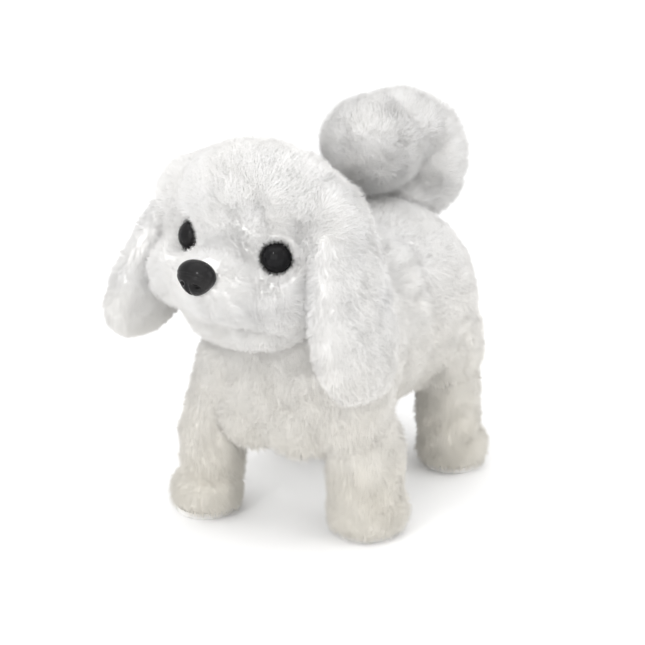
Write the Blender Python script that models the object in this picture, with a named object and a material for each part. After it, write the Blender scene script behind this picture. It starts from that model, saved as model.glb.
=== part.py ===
"""Walking plush puppy: fur skins over a geared walking mechanism.

Frame: +Z up, the puppy faces -Y and its left side is +X. The floor is z = 0. Lengths in metres.
The puppy stands in mid step: its right front foot is forward and its left front foot is back.
"""

import math

import bmesh
import bpy
from mathutils import Matrix, Vector

MM = 0.001
GAP = 0.3 * MM  # between pieces that touch

# Stance and legs
HIP_Z = 56 * MM
FRONT_HIP_Y = -33.5 * MM
REAR_HIP_Y = 41 * MM
STEP = 6.7 * MM  # how far each foot stands from below its hip
FOOT_X = 32 * MM
SOLE_THICK = 2.6 * MM
LEG_SIDES = 16

# Body skin: rounded chest, waist and rump
CHEST_CENTRE = Vector((0, -16, 70)) * MM
CHEST_RADII = Vector((37, 34.5, 37)) * MM
WAIST_CENTRE = Vector((0, 9, 70.5)) * MM
WAIST_RADII = Vector((36.5, 34, 36)) * MM
BRISKET_CENTRE = Vector((0, -23, 55)) * MM  # the lowest, front part of the chest
BRISKET_RADII = Vector((26, 24, 23)) * MM
BELLY_CENTRE = Vector((0, 8, 53)) * MM
BELLY_RADII = Vector((27, 37, 20)) * MM
RUMP_CENTRE = Vector((0, 34, 71)) * MM
RUMP_RADII = Vector((38.5, 40, 38)) * MM

# Rooms cut out of the body skin: low and high corners, in millimetres
MECHANISM_ROOM = ((-22.5, -40.5, 50), (22.5, 49, 80))
GEAR_ROOM = ((-17, 6, 60), (17, 48.8, 95.5))
SPEAKER_ROOM = ((-15, -22.5, 60), (15, 8, 84))
TAIL_ROOM = ((-13, 47, 74), (13, 61, 115))
BELLY_ROOM = ((-17.2, -41, 20), (17.2, 42, 52))
LEG_ROOM_X = (16.8 * MM, 52 * MM)
LEG_ROOM_HALF_Y = 20.5 * MM
LEG_ROOM_Z = (10 * MM, 62.5 * MM)
HEAD_ROOM_CENTRE = Vector((0, -46, 116)) * MM  # clears the head through its whole sway
HEAD_ROOM_RADII = Vector((41, 38, 38.5)) * MM
NECK_ROOM_RADIUS = 13 * MM

# Gearbox casing
SCREW_PLACES = ((-18 * MM, 69 * MM), (43.5 * MM, 79 * MM))
CASE_HALF = 14 * MM
CASE_WALL = 1.6 * MM
CASE_FRONT = -39.5 * MM
CASE_REAR = 48 * MM
CASE_FLOOR = 50.3 * MM
CASE_LOW_TOP = 75.6 * MM
CASE_TOP = 89.5 * MM

# Battery compartment under the gearbox
BOX_HALF = 16.4 * MM
BOX_FRONT = -27 * MM
BOX_REAR = 33.5 * MM
BOX_BOTTOM = 33 * MM
BOX_TOP = 49.6 * MM
BOX_WALL = 1.3 * MM
CELL_RADIUS = 7.1 * MM
CELL_LENGTH = 50.5 * MM
CELL_X = 7.45 * MM
CELL_Z = 40.8 * MM
DOOR_THICK = 1.5 * MM
DOOR_HALF = 15.4 * MM
DOOR_FRONT = -26.4 * MM
DOOR_REAR = 40.6 * MM
DOOR_SCREW_Y = 37 * MM
PLATE_FRONT = -40 * MM  # the plate that the compartment hangs from
PLATE_REAR = 41 * MM
PLATE_THICK = 1.6 * MM
SWITCH_SLOT_LOW = Vector((-4.4, -35.2, 30)) * MM
SWITCH_SLOT_HIGH = Vector((4.4, -31.8, 36)) * MM

# Gear train: module, tooth counts and axle places (y, z)
MODULE = 0.5 * MM
WHEEL_TEETH = 40
SMALL_TEETH = 10
MOTOR_TEETH = 8
GEAR_WIDTH = 2.4 * MM
PLANES = {"low": -6 * MM, "middle": -1.5 * MM, "high": 3 * MM}  # where each layer of gears starts
TOOTH_TIP = 0.8 * MODULE
TOOTH_ROOT = 1.15 * MODULE
TIP_SHARE = 0.12  # half widths of a tooth at its tip and root, as shares of the pitch
ROOT_SHARE = 0.29
CRANK_AT = (4 * MM, 63 * MM)
SECOND_AT = (16.5 * MM, 63 * MM)
FIRST_ANGLE = math.radians(35)
MOTOR_ANGLE = math.radians(60)
SHAFT_RADIUS = 1.4 * MM
CRANK_THROW = 2.1 * MM
CRANK_PHASE = math.radians(54.4)  # of the right pin in this step; the left one is half a turn on
LEVER_HEIGHT = 10 * MM

# Head, which turns on a vertical post
NECK_Y = -36 * MM
HEAD_CENTRE = Vector((0, -46, 116)) * MM
HEAD_RADII = Vector((36, 24, 34)) * MM
HEAD_TURN = math.radians(-4.5)  # the sway that goes with this step
HEAD_TILT = math.radians(3)
TILT_CENTRE = Vector((0, 0, 100)) * MM
SKULL_CENTRE = Vector((0, -46, 112)) * MM
SKULL_RADIUS = 20 * MM
SKULL_WALL = 1.8 * MM
EYE_AT = Vector((19, -65.2, 118.5)) * MM
EYE_FACING = math.radians(30)  # how far each eye faces out from straight ahead
EYE_LIFT = math.radians(10)
EYE_RADIUS = 5.3 * MM
NOSE_AT = Vector((0, -85, 111.5)) * MM
NOSE_RADII = Vector((7.4, 5.2, 6.4)) * MM
NOSE_WIDER = 0.14  # how much wider the nose is at its top, and narrower at its point
NOSE_NARROWER = 0.34
NOSE_STEM = 18.5 * MM
MUZZLE_CENTRE = Vector((0, -70, 106)) * MM
MUZZLE_RADII = Vector((15.5, 13.5, 12)) * MM

# Ears: the line of the left one's middle in millimetres, and its half width at each point
EAR_TOP = ((22, -44, 142), (29, -45, 136), (35, -48, 124), (40, -52, 109))
EAR_LINE = (*EAR_TOP, (45, -56, 94), (49, -59, 82), (51, -60, 75))
EAR_HALF_WIDTHS = [width * MM for width in (6, 10, 14, 17.5, 19.5, 17, 9)]
EAR_THICKNESS_SHARE = 0.38
EAR_FLARE = 2.6 * MM  # at its tip the left ear hangs this much further out, and the right one further in

# Tail, which wags on a pin along the body
TAIL_PIVOT_Z = 84 * MM
TAIL_RISE = ((0, 53, 101), (0, 60, 109), (0, 72, 118), (0, 76, 132))
TAIL_LINE = (*TAIL_RISE, (0, 62, 141), (0, 46, 139), (0, 38, 130))  # the core, in millimetres
CORE_RADIUS = 1.5 * MM
TAIL_REAR = (Vector((1, 73, 121)) * MM, Vector((17.5, 17, 23)) * MM)  # centre and radii of each lobe
TAIL_TIP = (Vector((-2, 38, 133)) * MM, Vector((17.5, 17, 16.5)) * MM)
TAIL_TOP = (Vector((0, 57, 137)) * MM, Vector((16, 17, 12)) * MM)
TAIL_ROOT = (Vector((0, 62, 109)) * MM, Vector((10, 10, 9)) * MM)

# Shank inside each leg: (x, z) from the hip down, in millimetres, and its radii
SHANK_LINE = ((22.5, 53.5), (26, 46), (29.5, 34), (32, 18), (32, 6))
SHANK_RADII = [3.1 * MM, 3.1 * MM, 3.1 * MM, 3.1 * MM, 4.5 * MM, 4.5 * MM]
CHANNEL_RADII = [3.8 * MM] * 5 + [5.2 * MM] * 3

# Fur sleeve around each leg: height, half width across and half width along, in millimetres
PAW = ((2.9, 12, 13), (5.5, 13.6, 15), (12, 14.2, 15.2))
SLEEVE = (*PAW, (24, 13.2, 14), (36, 12.6, 13.8), (45, 11.8, 13.6), (49.4, 9.6, 11))
REAR_SLEEVE_LONGER = 1.04
SLEEVE_LEAN = 2.6 * MM  # how far inwards the sleeve leans by the height of the hip
SOLE_RADIUS = 11.4 * MM


# ---------------------------------------------------------------- materials and objects


def material(name, colour, roughness, metallic=0.0):
    made = bpy.data.materials.get(name) or bpy.data.materials.new(name)
    made.use_nodes = True
    shader = made.node_tree.nodes["Principled BSDF"]
    shader.inputs["Base Color"].default_value = (*colour, 1)
    shader.inputs["Roughness"].default_value = roughness
    shader.inputs["Metallic"].default_value = metallic
    return made


FUR = ("white_fur", (0.93, 0.92, 0.90), 0.95, 0.0)
CASING = ("white_plastic", (0.82, 0.82, 0.80), 0.45, 0.0)
GEARS = ("gear_plastic", (0.88, 0.86, 0.78), 0.4, 0.0)
LEVERS = ("lever_plastic", (0.75, 0.75, 0.73), 0.5, 0.0)
STEEL = ("steel", (0.62, 0.62, 0.63), 0.3, 1.0)
BLACK = ("gloss_black", (0.012, 0.011, 0.011), 0.12, 0.0)
RUBBER = ("sole_rubber", (0.80, 0.79, 0.76), 0.8, 0.0)
BOARD = ("circuit_board", (0.05, 0.25, 0.10), 0.5, 0.0)
CELL = ("cell_wrap", (0.10, 0.10, 0.12), 0.4, 0.0)
RED_WIRE = ("red_wire", (0.6, 0.03, 0.03), 0.5, 0.0)
CONE = ("speaker_cone", (0.03, 0.03, 0.03), 0.8, 0.0)


def finish(mesh_data, name, look, smooth_angle=40):
    """Makes an object of a bmesh, with its faces turned out and its material set."""
    bmesh.ops.recalc_face_normals(mesh_data, faces=mesh_data.faces)
    mesh = bpy.data.meshes.new(name)
    mesh_data.to_mesh(mesh)
    mesh_data.free()
    mesh.shade_smooth()
    mesh.set_sharp_from_angle(angle=math.radians(smooth_angle))
    made = bpy.data.objects.new(name, mesh)
    bpy.context.scene.collection.objects.link(made)
    if look:
        mesh.materials.append(material(*look))
    return made


def cutter(made):
    made.hide_render = True
    made.display_type = "WIRE"
    return made


def combine(target, other, operation):
    """Adds or cuts another object with a Boolean modifier; the other becomes a hidden guide."""
    step = target.modifiers.new(operation.lower(), "BOOLEAN")
    step.operation = operation
    step.object = cutter(other)
    return target


def cut(target, *others):
    for other in others:
        combine(target, other, "DIFFERENCE")
    return target


def join(target, *others):
    for other in others:
        combine(target, other, "UNION")
    return target


def set_origin(made, place):
    """Moves an object's origin to a joint's axis, and leaves its shape where it is."""
    made.data.transform(Matrix.Translation(-Vector(place)))
    made.location = place
    return made


# ---------------------------------------------------------------- shapes


def box(name, low, high, look=None, bevel=0.0):
    data = bmesh.new()
    bmesh.ops.create_cube(data, size=1)
    low, high = Vector(low), Vector(high)
    size = high - low
    bmesh.ops.scale(data, vec=size, verts=data.verts)
    bmesh.ops.translate(data, vec=(low + high) / 2, verts=data.verts)
    if bevel:
        bmesh.ops.bevel(data, geom=data.edges, offset=bevel, segments=2, affect="EDGES", profile=0.6)
    return finish(data, name, look, 30)


def ball(name, centre, radii, look=None, around=24, rings=14, turn=None):
    data = bmesh.new()
    bmesh.ops.create_uvsphere(data, u_segments=around, v_segments=rings, radius=1)
    bmesh.ops.scale(data, vec=Vector(radii), verts=data.verts)
    if turn:
        bmesh.ops.transform(data, matrix=turn.to_4x4(), verts=data.verts)
    bmesh.ops.translate(data, vec=Vector(centre), verts=data.verts)
    return finish(data, name, look)


def turned(name, place, direction, profile, look=None, around=16):
    """A turned solid: profile is (distance along the axis, radius) pairs, closed by end discs."""
    data = bmesh.new()
    to_axis = Vector(direction).to_track_quat("Z", "Y").to_matrix()
    rings = []
    for along, radius in profile:
        ring = []
        for index in range(around):
            angle = math.tau * index / around
            point = Vector((radius * math.cos(angle), radius * math.sin(angle), along))
            ring.append(data.verts.new(to_axis @ point + Vector(place)))
        rings.append(ring)
    join_rings(data, rings)
    return finish(data, name, look)


def join_rings(data, rings, closed=False):
    """Skins a list of rings of points; open ends get caps."""
    pairs = list(zip(rings, rings[1:]))
    if closed:
        pairs.append((rings[-1], rings[0]))
    for first, second in pairs:
        count = len(first)
        for index in range(count):
            follow = (index + 1) % count
            data.faces.new((first[index], first[follow], second[follow], second[index]))
    if not closed:
        data.faces.new(rings[0])
        data.faces.new(reversed(rings[-1]))


def rod(name, start, end, radius, look=None, around=16):
    start, end = Vector(start), Vector(end)
    length = (end - start).length
    return turned(name, start, end - start, [(0, radius), (length, radius)], look, around)


def tube_path(name, points, radii, look=None, around=12, squash=1.0, flat_axis=(0, 1, 0)):
    """A solid swept along points; squash is its thickness across flat_axis over its width."""
    data = bmesh.new()
    points = [Vector(point) for point in points]
    rings = []
    for index, point in enumerate(points):
        before = points[max(index - 1, 0)]
        after = points[min(index + 1, len(points) - 1)]
        along = (after - before).normalized()
        wide = Vector(flat_axis) - along * along.dot(Vector(flat_axis))
        wide.normalize()
        thin = along.cross(wide)
        radius = radii[index] if isinstance(radii, (list, tuple)) else radii
        ring = []
        for step in range(around):
            angle = math.tau * step / around
            offset = wide * math.cos(angle) * radius + thin * math.sin(angle) * radius * squash
            ring.append(data.verts.new(point + offset))
        rings.append(ring)
    join_rings(data, rings)
    return finish(data, name, look)


def smooth_path(points, steps):
    """Points along a Catmull-Rom curve through the given points."""
    points = [Vector(point) for point in points]
    padded = [points[0] * 2 - points[1], *points, points[-1] * 2 - points[-2]]
    path = []
    for index in range(len(points) - 1):
        a, b, c, d = padded[index : index + 4]
        for step in range(steps):
            t = step / steps
            linear = (c - a) * t
            square = (a * 2 - b * 5 + c * 4 - d) * t * t
            cube = (b * 3 - a - c * 3 + d) * t**3
            path.append((b * 2 + linear + square + cube) / 2)
    path.append(points[-1])
    return path


def slab(name, outline, low_x, high_x, look=None):
    """A plate across X whose outline is a list of (y, z) points."""
    data = bmesh.new()
    low = [data.verts.new((low_x, y, z)) for y, z in outline]
    high = [data.verts.new((high_x, y, z)) for y, z in outline]
    join_rings(data, [low, high])
    return finish(data, name, look, 30)


# ---------------------------------------------------------------- gear train


def tooth_outline(teeth, at, phase):
    """The (y, z) outline of a spur gear with straight-sided teeth; phase turns one tooth's centre."""
    pitch_radius = MODULE * teeth / 2
    pitch_angle = math.tau / teeth
    tip = pitch_radius + TOOTH_TIP
    root = pitch_radius - TOOTH_ROOT
    corners = ((-ROOT_SHARE, root), (-TIP_SHARE, tip), (TIP_SHARE, tip), (ROOT_SHARE, root))
    outline = []
    for tooth in range(teeth):
        for share, radius in corners:
            angle = phase + pitch_angle * (tooth + share)
            outline.append((at[0] + radius * math.cos(angle), at[1] + radius * math.sin(angle)))
    return outline


def meshing_phase(phase, teeth, other_teeth, direction):
    """The phase that puts a gap of the other gear where this gear's tooth points along direction."""
    into_tooth = (direction - phase) * teeth / math.tau
    back = direction + math.pi
    return back - (0.5 - into_tooth) * math.tau / other_teeth


def first_gear_place():
    distance = MODULE * (WHEEL_TEETH + SMALL_TEETH) / 2
    y = SECOND_AT[0] + distance * math.cos(FIRST_ANGLE)
    z = SECOND_AT[1] + distance * math.sin(FIRST_ANGLE)
    return y, z


def motor_place():
    distance = MODULE * (WHEEL_TEETH + MOTOR_TEETH) / 2
    y, z = first_gear_place()
    return y + distance * math.cos(MOTOR_ANGLE), z + distance * math.sin(MOTOR_ANGLE)


def gear(name, teeth, at, phase, plane, look=GEARS):
    start = PLANES[plane]
    return slab(name, tooth_outline(teeth, at, phase), start, start + GEAR_WIDTH, look)


def axle_through(name, at, low_x, high_x, radius=SHAFT_RADIUS, look=None):
    return rod(name, (low_x, *at), (high_x, *at), radius, look, 12)


def gear_train():
    first_at, motor_at = first_gear_place(), motor_place()
    inner = CASE_HALF - CASE_WALL - GAP
    crank_phase = 0.0
    small_phase = meshing_phase(crank_phase, WHEEL_TEETH, SMALL_TEETH, 0.0)
    second = gear("second_gear", WHEEL_TEETH, SECOND_AT, small_phase, "middle")
    join(second, gear("second_small", SMALL_TEETH, SECOND_AT, small_phase, "low"))
    join(second, axle_through("second_axle", SECOND_AT, -inner, inner))
    first_phase = meshing_phase(small_phase, WHEEL_TEETH, SMALL_TEETH, FIRST_ANGLE)
    first = gear("first_gear", WHEEL_TEETH, first_at, first_phase, "high")
    join(first, gear("first_small", SMALL_TEETH, first_at, first_phase, "middle"))
    join(first, axle_through("first_axle", first_at, -inner, inner))
    motor_phase = meshing_phase(first_phase, WHEEL_TEETH, MOTOR_TEETH, MOTOR_ANGLE)
    pinion = gear("motor_pinion", MOTOR_TEETH, motor_at, motor_phase, "high", STEEL)
    cut(pinion, axle_through("pinion_bore", motor_at, 0, 10 * MM, 0.9 * MM))
    crank = gear("crank_gear", WHEEL_TEETH, CRANK_AT, crank_phase, "low")
    join(crank, axle_through("crank_axle", CRANK_AT, -18.2 * MM, 18.2 * MM))
    set_origin(crank, (0, *CRANK_AT))
    set_origin(second, (0, *SECOND_AT))
    set_origin(first, (0, *first_at))
    set_origin(pinion, (0, *motor_at))


def crank_disc(side, name):
    """A disc pressed on the crank axle, with the pin that drives one link rod."""
    phase = CRANK_PHASE + (math.pi if side > 0 else 0)
    pin_at = (CRANK_AT[0] + CRANK_THROW * math.cos(phase), CRANK_AT[1] + CRANK_THROW * math.sin(phase))
    disc = axle_through(name, CRANK_AT, side * 14.7 * MM, side * 17.2 * MM, 5 * MM, GEARS)
    join(disc, axle_through(name + "_pin", pin_at, side * 16 * MM, side * 18.6 * MM, 1 * MM))
    cut(disc, axle_through(name + "_bore", CRANK_AT, side * 13 * MM, side * 18.4 * MM, 1.5 * MM))
    return set_origin(disc, (0, *CRANK_AT))


# ---------------------------------------------------------------- chassis


def case_outline(inset):
    return [
        (CASE_FRONT + inset, CASE_FLOOR + inset),
        (CASE_FRONT + inset, CASE_LOW_TOP - inset),
        (8 * MM + inset, CASE_LOW_TOP - inset),
        (14 * MM + inset, CASE_TOP - inset),
        (CASE_REAR - 4 * MM - inset, CASE_TOP - inset),
        (CASE_REAR - inset, CASE_TOP - 6 * MM - inset),
        (CASE_REAR - inset, CASE_FLOOR + inset),
    ]


def gearbox(side, name):
    """One half of the gearbox casing, open towards the middle, with axle bearings and screw posts."""
    half = slab(name, case_outline(0), side * GAP / 2, side * CASE_HALF, CASING)
    wall_at = side * (CASE_HALF - CASE_WALL)
    cut(half, slab(name + "_room", case_outline(CASE_WALL), -side * MM, wall_at))
    for index, at in enumerate(SCREW_PLACES):
        post = axle_through(f"{name}_post_{index}", at, side * GAP / 2, side * (CASE_HALF - 0.5 * MM), 3 * MM)
        join(half, post)
    for index, at in enumerate(SCREW_PLACES):
        cut(half, axle_through(f"{name}_hole_{index}", at, -side * MM, side * 20 * MM, 1.4 * MM))
    for index, at in enumerate((CRANK_AT, (FRONT_HIP_Y, HIP_Z), (REAR_HIP_Y, HIP_Z))):
        bore = 1.8 * MM if index == 0 else 2.3 * MM
        cut(half, axle_through(f"{name}_bearing_{index}", at, side * 2 * MM, side * 20 * MM, bore))
    for index, at in enumerate((SECOND_AT, first_gear_place())):
        cup = axle_through(f"{name}_cup_{index}", at, side * 8 * MM, side * (CASE_HALF - 0.8 * MM), 3 * MM)
        bore = axle_through(f"{name}_cup_bore_{index}", at, side * 6 * MM, wall_at, 1.7 * MM)
        join(half, cup)
        cut(half, bore)
    return half


def chassis_hardware():
    for index, at in enumerate(SCREW_PLACES, 1):
        screw = axle_through(f"gearbox_screw_{index}", at, -8 * MM, 15 * MM, 1 * MM, STEEL)
        join(screw, axle_through(f"gearbox_screw_head_{index}", at, 14 * MM + GAP, 15.4 * MM, 2.4 * MM))
    for name, y in (("front_hip_axle", FRONT_HIP_Y), ("rear_hip_axle", REAR_HIP_Y)):
        axle = axle_through(name, (y, HIP_Z), -27.4 * MM, 27.4 * MM, 2 * MM, STEEL)
        for side in (-1, 1):
            start, end = side * 27.3 * MM, side * 28.5 * MM
            join(axle, axle_through(f"{name}_head_{side}", (y, HIP_Z), start, end, 3.2 * MM))


def motor():
    """A small can motor lying across the gearbox; its shaft carries the pinion."""
    at = motor_place()
    can = axle_through("motor", at, -12 * MM, 2 * MM, 6.6 * MM, STEEL)
    join(can, axle_through("motor_boss", at, 1.5 * MM, 2.6 * MM, 2 * MM))
    join(can, axle_through("motor_shaft", at, 1 * MM, 6.4 * MM, 0.7 * MM))
    return can


def battery_box():
    tray = box("battery_box", (-BOX_HALF, BOX_FRONT, BOX_BOTTOM), (BOX_HALF, BOX_REAR, BOX_TOP), CASING)
    plate_high = (BOX_HALF, PLATE_REAR, BOX_BOTTOM + PLATE_THICK)
    join(tray, box("tray_plate", (-BOX_HALF, PLATE_FRONT, BOX_BOTTOM), plate_high))
    room_low = (-BOX_HALF + BOX_WALL, BOX_FRONT + BOX_WALL, 30 * MM)
    room_high = (BOX_HALF - BOX_WALL, BOX_REAR - BOX_WALL, BOX_TOP - BOX_WALL)
    cut(tray, box("tray_room", room_low, room_high))
    cut(tray, box("switch_slot", SWITCH_SLOT_LOW, SWITCH_SLOT_HIGH))
    cut(tray, rod("screw_hole", (0, DOOR_SCREW_Y, 30 * MM), (0, DOOR_SCREW_Y, 40 * MM), 1.3 * MM))
    return tray


def battery(index, side):
    """An AA cell along Y, its button towards +Y on the left and towards -Y on the right."""
    middle = (BOX_FRONT + BOX_REAR) / 2 - side * 1.2 * MM
    profile = [
        (-CELL_LENGTH / 2, CELL_RADIUS - 0.6 * MM),
        (-CELL_LENGTH / 2 + 0.6 * MM, CELL_RADIUS),
        (CELL_LENGTH / 2 - 1.6 * MM, CELL_RADIUS),
        (CELL_LENGTH / 2 - MM, CELL_RADIUS - 0.6 * MM),
        (CELL_LENGTH / 2 - 0.95 * MM, 2.7 * MM),
        (CELL_LENGTH / 2, 2.6 * MM),
    ]
    name = f"battery_{index}"
    return turned(name, (side * CELL_X, middle, CELL_Z), (0, side, 0), profile, CELL, 14)


def battery_contact(index, side):
    """The spring behind a cell's flat end and the plate in front of its button."""
    x, z = side * CELL_X, CELL_Z
    middle = (BOX_FRONT + BOX_REAR) / 2 - side * 1.2 * MM
    flat_end = middle - side * CELL_LENGTH / 2
    wall = (BOX_FRONT + BOX_WALL) if side > 0 else (BOX_REAR - BOX_WALL)
    start, end = wall + side * 0.8 * MM, flat_end - side * 0.8 * MM
    turns, per_turn = 2.5, 9
    points = []
    for step in range(int(turns * per_turn) + 1):
        share = step / (turns * per_turn)
        angle = math.tau * turns * share
        radius = (4.6 - 1.6 * share) * MM
        along = start + (end - start) * share
        points.append((x + radius * math.cos(angle), along, z + radius * math.sin(angle)))
    tube_path(f"battery_spring_{index}", points, 0.35 * MM, STEEL, 4)
    button = middle + side * CELL_LENGTH / 2
    low, high = sorted((button + side * GAP, button + side * 0.8 * MM))
    plate_low = (x - 5 * MM, low, z - 5 * MM)
    box(f"contact_plate_{index}", plate_low, (x + 5 * MM, high, z + 5 * MM), STEEL)


def battery_door():
    top = BOX_BOTTOM - GAP
    low = (-DOOR_HALF, DOOR_FRONT, top - DOOR_THICK)
    door = box("battery_door", low, (DOOR_HALF, DOOR_REAR, top), CASING)
    rib_low = (-14.4 * MM, -25 * MM, top - 0.1 * MM)
    join(door, box("door_rib", rib_low, (14.4 * MM, -24 * MM, top + 0.9 * MM)))
    cut(door, rod("door_hole", (0, DOOR_SCREW_Y, 28 * MM), (0, DOOR_SCREW_Y, 36 * MM), 1.6 * MM))
    head = top - DOOR_THICK - GAP
    profile = [
        (0, 2.1 * MM),
        (0.4 * MM, 2.5 * MM),
        (0.8 * MM, 2.5 * MM),
        (0.85 * MM, MM),
        (6 * MM, MM),
    ]
    screw = turned("door_screw", (0, DOOR_SCREW_Y, head - 0.8 * MM), (0, 0, 1), profile, STEEL, 16)
    slot_low = (-1.6 * MM, DOOR_SCREW_Y - 0.3 * MM, head - 2 * MM)
    cut(screw, box("screw_slot", slot_low, (1.6 * MM, DOOR_SCREW_Y + 0.3 * MM, head - 0.4 * MM)))
    return door


def switch():
    body = box("switch_body", (-6 * MM, -37 * MM, 34.9 * MM), (6 * MM, -30 * MM, 39.5 * MM), BLACK)
    room_high = SWITCH_SLOT_HIGH + Vector((0, 0, 1.6 * MM))
    cut(body, box("switch_room", SWITCH_SLOT_LOW, room_high))
    knob = box("switch_knob", (-4 * MM, -35 * MM, 31.2 * MM), (0, -32 * MM, 32.7 * MM), BLACK, 0.4 * MM)
    return join(knob, box("knob_stem", (-3.2 * MM, -34.7 * MM, 32 * MM), (-0.8 * MM, -32.3 * MM, 37.2 * MM)))


def electronics():
    board = box("circuit_board", (-12 * MM, 15 * MM, 89.9 * MM), (12 * MM, 42 * MM, 91.3 * MM), BOARD)
    join(board, box("chip", (-4 * MM, 22 * MM, 91 * MM), (4 * MM, 30 * MM, 92.7 * MM)))
    capacitor_foot = Vector((7.5, 37, 91)) * MM
    capacitor_top = capacitor_foot + Vector((0, 0, 2.8 * MM))
    join(board, rod("capacitor", capacitor_foot, capacitor_top, 2.4 * MM, None, 12))
    profile = [
        (0, 7 * MM),
        (3 * MM, 7 * MM),
        (3.2 * MM, 9.5 * MM),
        (5.4 * MM, 13.2 * MM),
        (6.8 * MM, 13.2 * MM),
        (6.9 * MM, 11.6 * MM),
        (5.6 * MM, 5 * MM),
        (6.4 * MM, 2 * MM),
    ]
    turned("speaker", (0, -7.5 * MM, CASE_LOW_TOP + GAP), (0, 0, 1), profile, CONE, 18)
    route = [
        (15.4 * MM, 30 * MM, 50.6 * MM),
        (15.6 * MM, 28 * MM, 60 * MM),
        (15.4 * MM, 30 * MM, 78 * MM),
        (15.6 * MM, 31 * MM, 89 * MM),
        (14.6 * MM, 31 * MM, 91.6 * MM),
        (12.5 * MM, 31 * MM, 91.8 * MM),
    ]
    tube_path("battery_wire", smooth_path(route, 4), 0.6 * MM, RED_WIRE, 6)


def torso_plush():
    """The body's fur skin: hollow for the mechanism, open at the hips, neck, tail and belly."""
    skin = ball("torso_plush", RUMP_CENTRE, RUMP_RADII, FUR, 22, 14)
    join(skin, ball("chest_form", CHEST_CENTRE, CHEST_RADII, None, 22, 14))
    join(skin, ball("waist_form", WAIST_CENTRE, WAIST_RADII, None, 20, 12))
    join(skin, ball("brisket_form", BRISKET_CENTRE, BRISKET_RADII, None, 20, 12))
    join(skin, ball("belly_form", BELLY_CENTRE, BELLY_RADII, None, 20, 12))
    rooms = {
        "mechanism_room": MECHANISM_ROOM,
        "gear_room": GEAR_ROOM,
        "speaker_room": SPEAKER_ROOM,
        "tail_room": TAIL_ROOM,
        "belly_room": BELLY_ROOM,
    }
    for name, (low, high) in rooms.items():
        cut(skin, box(name, Vector(low) * MM, Vector(high) * MM))
    for name, y in (("front", FRONT_HIP_Y), ("rear", REAR_HIP_Y)):
        for side in (-1, 1):
            low_x, high_x = sorted((side * LEG_ROOM_X[0], side * LEG_ROOM_X[1]))
            low = (low_x, y - LEG_ROOM_HALF_Y, LEG_ROOM_Z[0])
            cut(skin, box(f"{name}_leg_room_{side}", low, (high_x, y + LEG_ROOM_HALF_Y, LEG_ROOM_Z[1])))
    cut(skin, ball("head_room", HEAD_ROOM_CENTRE, HEAD_ROOM_RADII))
    return cut(skin, rod("neck_room", (0, NECK_Y, 72 * MM), (0, NECK_Y, 100 * MM), NECK_ROOM_RADIUS))


# ---------------------------------------------------------------- legs


def leg_names(front, side):
    return f"{'front' if front else 'rear'}_{'left' if side > 0 else 'right'}"


def leg_points(front, side):
    """The line from hip to foot centre. The left feet stand back and the right feet forward."""
    hip_y = FRONT_HIP_Y if front else REAR_HIP_Y
    foot_y = hip_y + side * STEP

    def at(x, z):
        return Vector((side * x, hip_y + (foot_y - hip_y) * (HIP_Z - z) / HIP_Z, z))

    return at


def leg_frame(front, side):
    """The moulded leg: a hub on the hip axle, a lever above it and a shank down to the foot."""
    name = leg_names(front, side)
    hip_y = FRONT_HIP_Y if front else REAR_HIP_Y
    at = leg_points(front, side)
    hip = (hip_y, HIP_Z)
    frame = axle_through(name + "_leg_frame", hip, side * 14.5 * MM, side * 27 * MM, 4.4 * MM, LEVERS)
    lever_y = hip_y - side * STEP * LEVER_HEIGHT / HIP_Z
    pin_at = (lever_y, HIP_Z + LEVER_HEIGHT)
    lever_outline = [
        (hip_y - 3.2 * MM, HIP_Z),
        (lever_y - 2.4 * MM, pin_at[1] + 1.4 * MM),
        (lever_y + 2.4 * MM, pin_at[1] + 1.4 * MM),
        (hip_y + 3.2 * MM, HIP_Z),
    ]
    join(frame, slab(name + "_lever", lever_outline, side * 14.8 * MM, side * 17 * MM))
    join(frame, axle_through(name + "_pin", pin_at, side * 16 * MM, side * 21.9 * MM, 1.3 * MM))
    shank = [at(x * MM, z * MM) for x, z in SHANK_LINE]
    shank.append(Vector((shank[-1].x, shank[-1].y, SOLE_THICK + GAP)))
    join(frame, tube_path(name + "_shank", shank, SHANK_RADII, None, 8))
    cut(frame, axle_through(name + "_bore", hip, side * 13 * MM, side * 30 * MM, 2.3 * MM))
    return set_origin(frame, (0, *hip)), shank


def leg_plush(front, side, shank):
    """The fur sleeve around a leg, a little fuller at the paw."""
    name = leg_names(front, side)
    hip_y = FRONT_HIP_Y if front else REAR_HIP_Y
    longer = 1.0 if front else REAR_SLEEVE_LONGER
    data = bmesh.new()
    at = leg_points(front, side)
    rings = []
    for height, half_x, half_y in SLEEVE:
        centre = at(FOOT_X - SLEEVE_LEAN * height * MM / HIP_Z, height * MM)
        ring = []
        for step in range(LEG_SIDES):
            angle = math.tau * step / LEG_SIDES
            offset = (half_x * math.cos(angle), half_y * longer * math.sin(angle), 0)
            ring.append(data.verts.new(centre + Vector(offset) * MM))
        rings.append(ring)
    join_rings(data, rings)
    sleeve = finish(data, name + "_leg_plush", FUR)
    above = shank[0] + (shank[0] - shank[1]) * 0.8
    below = shank[-1] - Vector((0, 0, 4 * MM))
    channel = [above, *shank, below]
    cut(sleeve, tube_path(name + "_channel", channel, CHANNEL_RADII, None, 8))
    return set_origin(sleeve, (0, hip_y, HIP_Z))


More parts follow.
